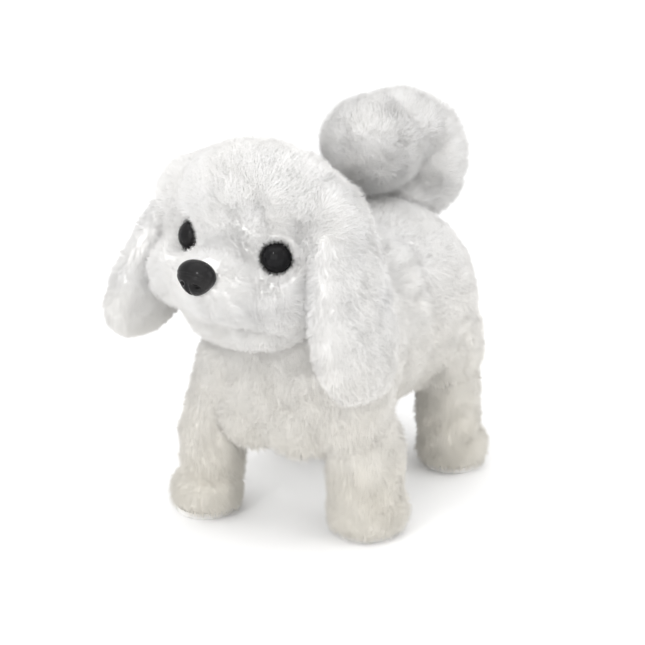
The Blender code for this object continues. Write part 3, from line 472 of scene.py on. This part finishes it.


def fur_material(name, dark, pale):
    """White plush with painted shade, which turns it a little warmer and duller towards the feet."""
    made, shader = patterned(name, dark, pale, scale=70, rough_low=0.62, rough_high=0.8)
    tree = made.node_tree
    place = tree.nodes.new("ShaderNodeTexCoord")
    split = tree.nodes.new("ShaderNodeSeparateXYZ")
    height = tree.nodes.new("ShaderNodeMapRange")
    height.inputs["From Min"].default_value = PAINTED_SHADE_LOW
    height.inputs["From Max"].default_value = PAINTED_SHADE_HIGH
    # Painted shade: the noise colour is multiplied by a warm grey low down, fading to white higher up
    painted_shade = ramp(tree, 0.0, 1.0, FOOT_PAINTED_SHADE, (1.0, 1.0, 1.0))
    mixed = tree.nodes.new("ShaderNodeMix")
    mixed.data_type = "RGBA"
    mixed.blend_type = "MULTIPLY"
    # Its colour sockets share their names with those for numbers, so they are taken by their places.
    factor, first, second, result = mixed.inputs[0], mixed.inputs[6], mixed.inputs[7], mixed.outputs[2]
    factor.default_value = 1.0
    clouds = shader.inputs["Base Color"].links[0].from_socket
    tree.links.new(place.outputs["Object"], split.inputs["Vector"])
    tree.links.new(split.outputs["Z"], height.inputs["Value"])
    tree.links.new(height.outputs["Result"], painted_shade.inputs["Fac"])
    tree.links.new(clouds, first)
    tree.links.new(painted_shade.outputs["Color"], second)
    tree.links.new(result, shader.inputs["Base Color"])
    shader.inputs["Specular IOR Level"].default_value = 0.25
    shader.inputs["Sheen Weight"].default_value = 0.35
    shader.inputs["Sheen Roughness"].default_value = 0.45
    shader.inputs["Sheen Tint"].default_value = (1.0, 0.99, 0.97, 1)
    return made


# Both plush materials carry the painted shade towards the feet
PILE = fur_material("white_pile", (0.96, 0.95, 0.93), (0.985, 0.98, 0.97))
FABRIC = fur_material("white_backing", (0.95, 0.94, 0.92), (0.98, 0.975, 0.965))
LASH = patterned("black_lashes", (0.012, 0.011, 0.010), (0.03, 0.028, 0.026), 400, 0.4, 0.6)[0]


def glossy(made, shader, specular, coat_roughness):
    """Black gloss that stays black under a white sky, with a thin clear coat for the highlights."""
    shader.inputs["Specular IOR Level"].default_value = specular
    shader.inputs["Coat Weight"].default_value = 0.14
    shader.inputs["Coat Roughness"].default_value = coat_roughness
    return made


EYE_BLACK = ((0.006, 0.006, 0.007), (0.016, 0.015, 0.015), 90, 0.05, 0.1)
NOSE_BLACK = ((0.008, 0.008, 0.009), (0.02, 0.019, 0.019), 120, 0.14, 0.26, 0.25, 900, 0.08 * MM)
GLOSS = glossy(*patterned("gloss_black", *EYE_BLACK), 0.05, 0.03)
NOSE_GLOSS = glossy(*patterned("nose_black", *NOSE_BLACK), 0.06, 0.08)

# ---------------------------------------------------------------- the head's own axes

EYE_LEFT, EYE_RIGHT = centre_of("eye_left"), centre_of("eye_right")
HEAD_X = (EYE_LEFT - EYE_RIGHT).normalized()
HEAD_Z = (UP - HEAD_X * HEAD_X.dot(UP)).normalized()
HEAD_Y = HEAD_Z.cross(HEAD_X)
BETWEEN_EYES = (EYE_LEFT + EYE_RIGHT) / 2
HEAD_TURN = Matrix((HEAD_X, HEAD_Y, HEAD_Z)).transposed()


def on_head(x, y, z):
    """A point given in millimetres from between the eyes: x to the puppy's left, y backwards, z up."""
    return BETWEEN_EYES + (HEAD_X * x + HEAD_Y * y + HEAD_Z * z) * MM


def head_form(x, y, z, radii):
    return ellipsoid(on_head(x, y, z), Vector(radii) * MM, HEAD_TURN)


EYE_PLACES = {}
for eye_side, eye_name in ((1, "left"), (-1, "right")):
    aside, forward, upward = EYE_LOOK
    outward = (HEAD_X * aside * eye_side - HEAD_Y * forward + HEAD_Z * upward).normalized()
    EYE_PLACES[eye_name] = (on_head(eye_side * EYE_SIDE + EYE_SHIFT, -EYE_FORWARD, 0), outward)
NOSE_FORWARD, NOSE_DROP = 20.7, 6.9
NOSE_MIDDLE = on_head(0, -NOSE_FORWARD, -NOSE_DROP)

# ---------------------------------------------------------------- skins


def eye_dishes(points):
    """Sinks the skin round each eye, so that the button sits in a shallow well."""
    for place, out in EYE_PLACES.values():
        away = points - np.array(place)
        height = away @ np.array(out)
        across = np.linalg.norm(away - height[:, None] * np.array(out), axis=1)
        depth = np.clip(across - EYE_WELL, 0, None) * EYE_WELL_SLOPE - EYE_WELL_DEPTH
        near = (across < EYE_WELL_RIM) & (height > depth) & (height < EYE_WELL_REACH)
        points[near] -= np.array(out) * (height - depth)[near, None]
    return points


def nose_dish(points):
    """Sinks the skin behind the nose."""
    away = points - np.array(NOSE_MIDDLE)
    back = away @ np.array(HEAD_Y)
    side = away @ np.array(HEAD_X)
    high = away @ np.array(HEAD_Z)
    across = np.hypot(side, high)
    limit = NOSE_SEAT_BACK - np.clip(across - NOSE_SEAT, 0, None) * NOSE_SEAT_SLOPE
    near = (across < NOSE_SEAT_RIM) & (back < limit)
    points[near] += np.array(HEAD_Y) * (limit - back)[near, None]
    return points


def head_shape(points):
    return nose_dish(eye_dishes(points))


head_skin = skin(
    "head_skin",
    [
        head_form(0, 19, -2, (36.8, 24.5, 33.2)),  # skull
        head_form(0, 17.5, 8, (33.5, 23.5, 23.8)),  # crown
        head_form(0, -7.5, -13, (16.5, 13.5, 11)),  # muzzle
        head_form(0, -2, -16.5, (22, 13, 11)),  # jaw
        head_form(19, 4, -14, (17, 14.5, 13.5)),  # cheeks
        head_form(-19, 4, -14, (17, 14.5, 13.5)),
        head_form(27, 13.5, -1, (11, 13, 16)),  # sides of the face
        head_form(-27, 13.5, -1, (11, 13, 16)),
        head_form(0, 10, -29.5, (23, 18, 7.5)),  # throat
        head_form(29.5, 13.5, 4, (11, 13, 19)),  # where the ears hang
        head_form(-29.5, 13.5, 4, (11, 13, 19)),
    ],
    seed=2,
    rounds=14,
    shape=head_shape,
    lumps=HEAD_LUMP_HEIGHT,
)

HIP = {"front": centre_of("front_hip_axle"), "rear": centre_of("rear_hip_axle")}
TORSO = (HIP["front"] + HIP["rear"]) / 2


def torso_form(x, y, z, radii):
    """A ball of the body's stuffing, placed in millimetres from midway between the hips."""
    return ellipsoid(TORSO + Vector((x, y, z)) * MM, Vector(radii) * MM)


BOX_LOW, BOX_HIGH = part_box("battery_box")
HATCH_FRAME = 1.0 * MM  # from the box to the edge of the fabric
HATCH_BARE = 1.6 * MM  # from the box to the nearest fibres, beside it and above it
HATCH_BARE_ABOVE = 2 * MM


def belly_opening(points):
    """Lifts the belly's skin round the battery hatch, which stays open to view."""
    margin = HATCH_FRAME
    inside = (
        (np.abs(points[:, 0]) < BOX_HIGH.x + margin)
        & (points[:, 1] > BOX_LOW.y - margin)
        & (points[:, 1] < BOX_HIGH.y + margin)
        & (points[:, 2] < BOX_HIGH.z + margin)
    )
    points[inside, 2] = BOX_HIGH.z + margin
    return points


torso_skin = skin(
    "torso_skin",
    [
        torso_form(0, -19.75, 14, (37.2, 34.5, 37.4)),  # ribs
        torso_form(0, 5.25, 14.5, (37.2, 35, 37)),  # middle
        torso_form(0, 31.75, 14.5, (40.4, 42, 39)),  # rump
        torso_form(19, -34.75, 5, (17.5, 18, 21)),  # shoulders
        torso_form(-17, -34.75, 5, (16.5, 17, 21)),
        torso_form(28.5, -35.75, -3, (14.2, 15.4, 19)),  # tops of the front legs
        torso_form(-24.5, -36.25, -3, (12.4, 13.4, 18)),
        torso_form(0, -35.75, 1, (26, 19, 24)),  # breast
        torso_form(10, -38.75, -9.5, (15, 13.5, 17)),  # below the breast
        torso_form(-10, -38.75, -9.5, (15, 13.5, 17)),
        torso_form(0, 2.25, -4, (29, 42, 20)),  # belly
        torso_form(21, 42.25, 1, (18.5, 23, 21)),  # thighs
        torso_form(-21, 39.25, 1, (18, 22, 21)),
        torso_form(28.5, 41.25, -4, (14, 17, 19)),  # tops of the rear legs
        torso_form(-28, 35.75, -4, (13.4, 15.5, 19)),
    ],
    seed=3,
    rounds=12,
    shape=belly_opening,
)

tail_skin = skin("tail_skin", [node_solid("tail_plush")], seed=4, swell=0.4 * MM, lumps=FINE_LUMP_HEIGHT)
ear_skins = {
    side: skin(f"ear_{side}_skin", [node_solid(f"ear_{side}")], 5 + n, swell=1.2 * MM, lumps=FINE_LUMP_HEIGHT)
    for n, side in enumerate(("left", "right"))
}

LEGS = [f"{end}_{side}" for end in ("front", "rear") for side in ("left", "right")]


# How each leg's plush stands in its place: millimetres to the left, millimetres back, and how thick
LEG_STUFFING = {
    "front_left": (1.2, 1.0, 1.06),
    "front_right": (1.6, 0.8, 0.88),
    "rear_left": (-0.6, 0.0, 0.94),
    "rear_right": (0.0, 0.0, 0.96),
}


def leg_forms(leg):
    """The leg's column, a broad paw, and the shoulder or thigh that goes up into the body."""
    end, side = leg.split("_")
    sign = 1 if side == "left" else -1
    left, back, thick = LEG_STUFFING[leg]
    shift = Vector((left, back, 0)) * MM
    low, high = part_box(f"{leg}_leg_plush")
    sole = centre_of(f"{leg}_sole") + shift / 2
    middle = (low + high) / 2 + shift
    hip = HIP[end]
    upper = Vector((middle.x - sign * 3 * MM, (middle.y + hip.y * 2) / 3, hip.z - 8 * MM))
    thigh = Vector((middle.x - sign * 8 * MM, (middle.y + hip.y * 3) / 4, hip.z))
    paw = Vector((13.6, 13.6, 8.5)) * MM * (0.5 + 0.5 * thick)
    return [
        ellipsoid((middle.x, middle.y, 25 * MM), Vector((12.4 * thick, 13.2 * thick, 24)) * MM),  # column
        ellipsoid((middle.x, middle.y, 33 * MM), Vector((12.2 * thick, 13.2 * thick, 20)) * MM),
        ellipsoid((sole.x, sole.y + 0.4 * MM, 6.8 * MM), paw),
        ellipsoid((sole.x, sole.y + 0.4 * MM, 11 * MM), paw),
        ellipsoid(upper, Vector((12 * thick, 13.4 * thick, 16)) * MM),
        ellipsoid(thigh, Vector((10.5, 12.5, 12)) * MM),
    ]


def above_sole(points):
    points[:, 2] = np.maximum(points[:, 2], PAW_UNDERSIDE)
    return points


leg_skins = {
    leg: skin(f"{leg}_leg_skin", leg_forms(leg), 8 + n, rounds=7, shape=above_sole)
    for n, leg in enumerate(LEGS)
}

# ---------------------------------------------------------------- the ways the pile lies


def away_from_nose(points):
    lay = unit(points - np.array(NOSE_MIDDLE))
    lay[:, 2] -= FACE_DROOP
    return lay


def down_and_back(points):
    return np.tile((0.0, 0.5, -1.0), (len(points), 1))


def down(points):
    return np.tile((0.0, 0.0, -1.0), (len(points), 1))


TAIL_ROOT_PLACE = Vector((1.5, 17, 0)) * MM  # from the low corner of the tail's core


def away_from_tail_root(points):
    root = np.array(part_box("tail_core")[0] + TAIL_ROOT_PLACE)
    return unit(points - root)


def eye_distance(points):
    """How far each point is from the nearer eye's axis; points well behind the eyes count as far away."""
    return np.min(
        [
            np.linalg.norm(np.cross(points - np.array(place), np.array(out)), axis=1)
            + FAR * ((points - np.array(place)) @ np.array(out) < -6 * MM)
            for place, out in EYE_PLACES.values()
        ],
        axis=0,
    )


def nose_distance(points):
    """How far each point is from the nose's axis; points well behind the nose count as far away."""
    away = points - np.array(NOSE_MIDDLE)
    across = np.hypot(away @ np.array(HEAD_X), away @ np.array(HEAD_Z))
    return across + FAR * (away @ np.array(HEAD_Y) > 9 * MM)


def head_keep(points):
    return (eye_distance(points) > EYE_BARE) & (nose_distance(points) > NOSE_BARE)


def face_length(points):
    """Short on the muzzle and round the eyes, longer towards the crown and cheeks."""
    from_nose = np.linalg.norm(points - np.array(NOSE_MIDDLE), axis=1)
    grown = FACE_PILE + CROWN_PILE * np.clip((from_nose - NOSE_REACH) / CROWN_REACH, 0, 1)
    return grown * np.clip((eye_distance(points) - EYE_SHORT) / EYE_REACH, SHORTEST_BY_EYE, 1)


def belly_keep(points):
    """Leaves the battery hatch bare."""
    margin = HATCH_BARE
    over_hatch = (
        (np.abs(points[:, 0]) < BOX_HIGH.x + margin)
        & (points[:, 1] > BOX_LOW.y - margin)
        & (points[:, 1] < BOX_HIGH.y + margin)
        & (points[:, 2] < BOX_HIGH.z + HATCH_BARE_ABOVE)
    )
    return ~over_hatch


coats = {
    "head_fur": coat(
        "head_fur", head_skin, per_mm2=8.0, length=face_length, lift=0.6, comb=away_from_nose,
        seed=21, width=HEAD_FIBRE_WIDTH, keep=head_keep, hidden_by=[torso_skin],
    ),
    "torso_fur": coat(
        "torso_fur", torso_skin, per_mm2=5.5, length=4.2 * MM, lift=0.6, comb=down_and_back,
        seed=22, keep=belly_keep, hidden_by=[head_skin],
    ),
    "tail_fur": coat(
        "tail_fur", tail_skin, per_mm2=6.0, length=5.0 * MM, lift=0.7, comb=away_from_tail_root,
        seed=23, hidden_by=[torso_skin],
    ),
}
for number, side in enumerate(("left", "right")):
    name = f"ear_{side}_fur"
    coats[name] = coat(
        name, ear_skins[side], per_mm2=7.0, length=3.8 * MM, lift=0.5, comb=down,
        seed=24 + number, hidden_by=[head_skin],
    )
for number, leg in enumerate(LEGS):
    name = f"{leg}_leg_fur"
    coats[name] = coat(
        name, leg_skins[leg], per_mm2=6.5, length=3.7 * MM, lift=0.5, comb=down,
        seed=30 + number, hidden_by=[torso_skin],
    )

# ---------------------------------------------------------------- eyes and nose


def lathe(name, place, out, profile, material, sides=48):
    """A closed turned piece: profile is (height along out, radius) pairs, from the back to the front."""
    side = out.orthogonal().normalized()
    other = out.cross(side)
    points, faces = [place + out * profile[0][0]], []
    for height, radius in profile[1:-1]:
        for step in range(sides):
            angle = math.tau * step / sides
            points.append(place + out * height + (side * math.cos(angle) + other * math.sin(angle)) * radius)
    points.append(place + out * profile[-1][0])
    rings = len(profile) - 2
    for step in range(sides):
        after = (step + 1) % sides
        faces.append((0, 1 + after, 1 + step))
        for ring in range(rings - 1):
            a, b = 1 + ring * sides, 1 + (ring + 1) * sides
            faces.append((a + step, a + after, b + after, b + step))
        low = 1 + (rings - 1) * sides
        faces.append((low + step, low + after, len(points) - 1))
    return new_object(name, points, faces, material)


def button_eye(side):
    """A domed button on a short shank."""
    place, out = EYE_PLACES[side]
    shank = [(-4 * MM, 0), (-4 * MM, SHANK_RADIUS), (-1.5 * MM, SHANK_RADIUS)]
    back_and_rim = [(-1.4 * MM, 4.7 * MM), (-1.1 * MM, 5.15 * MM), (-0.6 * MM, EYE_RADIUS)]
    profile = shank + back_and_rim
    for step in range(1, DOME_RINGS):
        angle = math.pi / 2 * step / DOME_RINGS
        profile.append((EYE_DOME * math.sin(angle) - EYE_RIM, EYE_RADIUS * math.cos(angle)))
    profile.append((EYE_DOME - EYE_RIM, 0))
    return lathe(f"button_eye_{side}", place, out, profile, GLOSS)


def lashes(side, seed):
    """The short black fuzz that rings a button eye."""
    place, out = EYE_PLACES[side]
    random = np.random.default_rng(seed)
    turn = random.random(LASHES) * math.tau
    a = np.array(out.orthogonal().normalized())
    b = np.cross(np.array(out), a)
    radial = np.cos(turn)[:, None] * a + np.sin(turn)[:, None] * b
    ring = (LASH_RING + LASH_BAND * random.random(LASHES))[:, None] * MM
    roots = np.array(place) + radial * ring - np.array(out) * LASH_SINK * MM
    pile = Pile(roots, unit(radial * 0.5 + np.array(out)), random)
    reach = (LEAST_LASH + LASH_SPREAD * random.random(LASHES) ** 2)[:, None] * MM
    forward = (LASH_FORWARD + LASH_FORWARD_SPREAD * random.random(LASHES))[:, None]
    stray = LASH_STRAY * random.normal(size=radial.shape)
    way = unit(radial * LASH_OUTWARD + np.array(out) * forward + stray)
    tips = pile.points + way * reach + np.array(out) * LASH_SINK * MM
    return fibres(f"lashes_{side}", pile, tips, LASH_WIDTH, LASH, soften=0.3)


def sculpted_nose():
    """A glossy nose: wide and ridged at the top, with two nostrils, a middle groove and a pointed bottom."""
    points, faces = ellipsoid((0, 0, 0), (1, 1, 1), None, 96, 64)
    x, y, z = points[:, 0].copy(), points[:, 1].copy(), points[:, 2].copy()
    x *= np.where(z > 0, 1 + NOSE_FLARE * z, 1 + NOSE_TAPER * z)
    front = np.clip(-y, 0, 1)
    groove = np.exp(-((x / GROOVE_WIDTH) ** 2)) * np.clip(GROOVE_TOP - z, 0, 1) * front
    y += GROOVE_DEPTH * groove
    for sign in (-1, 1):
        across = (x - sign * NOSTRIL_ASIDE) / NOSTRIL_WIDTH
        upward = (z + NOSTRIL_DROP + NOSTRIL_SLANT * np.abs(x)) / NOSTRIL_HEIGHT
        y += NOSTRIL_DEPTH * np.exp(-(across**2 + upward**2)) * front
    ridge = np.exp(-(((z - RIDGE_PLACE + RIDGE_ARCH * x * x) / RIDGE_WIDTH) ** 2)) * front
    y += RIDGE_HEIGHT * ridge
    wide_size, deep_size, high_size = NOSE_SIZE
    local = np.stack([x * wide_size, y * deep_size, z * high_size], 1) * MM
    axes = np.array([HEAD_X, HEAD_Y, HEAD_Z])
    return new_object("sculpted_nose", np.array(NOSE_MIDDLE) + local @ axes, faces, NOSE_GLOSS)


for number, side in enumerate(("left", "right")):
    eye = button_eye(side)
    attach(eye, "head")
    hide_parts(f"eye_{side}")
    fringe = lashes(side, 50 + number)
    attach(fringe, "head")
nose = sculpted_nose()
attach(nose, "head")
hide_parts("nose")

# ---------------------------------------------------------------- bodies


def plush(node):
    """Hides the CAD node that a skin and its pile stand in for."""
    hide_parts(node)


for base, fur, node, body in (
    (head_skin, coats["head_fur"], "head_plush", "head"),
    (torso_skin, coats["torso_fur"], "torso_plush", "chassis"),
    (ear_skins["left"], coats["ear_left_fur"], "ear_left", "head"),
    (ear_skins["right"], coats["ear_right_fur"], "ear_right", "head"),
):
    for piece in (base, *fur):
        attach(piece, body)
    plush(node)
for leg in LEGS:
    for piece in (leg_skins[leg], *coats[f"{leg}_leg_fur"]):
        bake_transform(piece)
    plush(f"{leg}_leg_plush")
for piece in (tail_skin, *coats["tail_fur"]):
    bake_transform(piece)
plush("tail_plush")

# ---------------------------------------------------------------- CAD nodes that show

# Colours, size of the pattern, lowest and highest roughness, depth and fineness of the grain
SLOT_LOOKS = {
    "white_plastic": ((0.80, 0.80, 0.79), (0.86, 0.86, 0.85), 60, 0.32, 0.42, 0.12, 1400),
    "gear_plastic": ((0.78, 0.77, 0.72), (0.84, 0.83, 0.79), 60, 0.35, 0.48, 0.1, 1200),
    "lever_plastic": ((0.70, 0.70, 0.69), (0.78, 0.78, 0.77), 60, 0.38, 0.5, 0.1, 1200),
    "steel": ((0.50, 0.50, 0.50), (0.62, 0.61, 0.60), 300, 0.22, 0.36, 0.06, 2000),
    "gloss_black": ((0.008, 0.008, 0.009), (0.02, 0.02, 0.02), 90, 0.08, 0.16, 0.0, 100),
    "sole_rubber": ((0.72, 0.71, 0.69), (0.80, 0.79, 0.77), 120, 0.6, 0.78, 0.35, 900),
    "circuit_board": ((0.01, 0.09, 0.04), (0.02, 0.16, 0.07), 500, 0.3, 0.45, 0.1, 700),
    "cell_wrap": ((0.05, 0.05, 0.06), (0.09, 0.09, 0.10), 80, 0.25, 0.35, 0.05, 500),
    "red_wire": ((0.45, 0.02, 0.02), (0.62, 0.04, 0.03), 200, 0.35, 0.5, 0.05, 700),
    "speaker_cone": ((0.02, 0.02, 0.02), (0.05, 0.05, 0.05), 300, 0.6, 0.8, 0.3, 900),
}
looks = {}
for slot_name, look in SLOT_LOOKS.items():
    looks[slot_name], slot_shader = patterned(f"{slot_name}_look", *look)
    slot_shader.inputs["Metallic"].default_value = 1.0 if slot_name == "steel" else 0.0
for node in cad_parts.values():
    own_slot = node.data.materials[0].name
    if own_slot in looks:
        node.data.materials.clear()
        node.data.materials.append(looks[own_slot])

# ---------------------------------------------------------------- floor, light and camera

floor_look = patterned("floor_paper", (0.93, 0.93, 0.93), (0.95, 0.95, 0.95), 3, 0.75, 0.85)[0]
FLOOR_HALF = 4.0  # metres
floor = new_object(
    "floor",
    [(-FLOOR_HALF, -FLOOR_HALF, 0), (FLOOR_HALF, -FLOOR_HALF, 0), (FLOOR_HALF, FLOOR_HALF, 0),
     (-FLOOR_HALF, FLOOR_HALF, 0)],
    [(0, 1, 2, 3)],
    floor_look,
)

SKY = 1.1
scene = bpy.context.scene
scene.view_settings.view_transform = "Standard"
world = bpy.data.worlds.new("studio")
world.use_nodes = True
world.node_tree.nodes["Background"].inputs["Color"].default_value = (1.0, 1.0, 1.0, 1)
world.node_tree.nodes["Background"].inputs["Strength"].default_value = SKY
scene.world = world


BODY_MIDDLE = (0, 0, 70 * MM)


def softbox(name, place, size, watts, aim=BODY_MIDDLE):
    data = bpy.data.lights.new(name, "AREA")
    data.shape = "RECTANGLE"
    data.size, data.size_y = size
    data.energy = watts
    made = bpy.data.objects.new(name, data)
    made.location = place
    made.rotation_mode = "QUATERNION"
    made.rotation_quaternion = (Vector(aim) - Vector(place)).to_track_quat("-Z", "Y")
    scene.collection.objects.link(made)


softbox("overhead_light", place=(-0.1, -0.3, 1.2), size=(1.4, 1.4), watts=4.5)
softbox("front_light", place=(0.15, -1.0, 0.4), size=(0.8, 0.6), watts=2.2)
softbox("side_light", place=(1.0, 0.2, 0.6), size=(0.8, 0.8), watts=3.0)
# A small one, which puts the bright spots on the eyes and nose
softbox("catch_light", place=(0.0, -0.9, 0.8), size=(0.1, 0.1), watts=1.2, aim=(0, -60 * MM, 100 * MM))

AZIMUTH, ELEVATION = math.radians(30), math.radians(19)
DISTANCE = 0.72
AIM = Vector((-2.2, 0, 70)) * MM
LENS, SENSOR = 103.2, 36  # millimetres
camera_data = bpy.data.cameras.new("camera")
camera_data.lens = LENS
camera_data.sensor_width = SENSOR
camera = bpy.data.objects.new("camera", camera_data)
level = math.cos(ELEVATION)
back = Vector((math.sin(AZIMUTH) * level, -math.cos(AZIMUTH) * level, math.sin(ELEVATION)))
camera.location = AIM + back * DISTANCE
camera.rotation_mode = "QUATERNION"
camera.rotation_quaternion = (-back).to_track_quat("-Z", "Y")
scene.collection.objects.link(camera)
scene.camera = camera
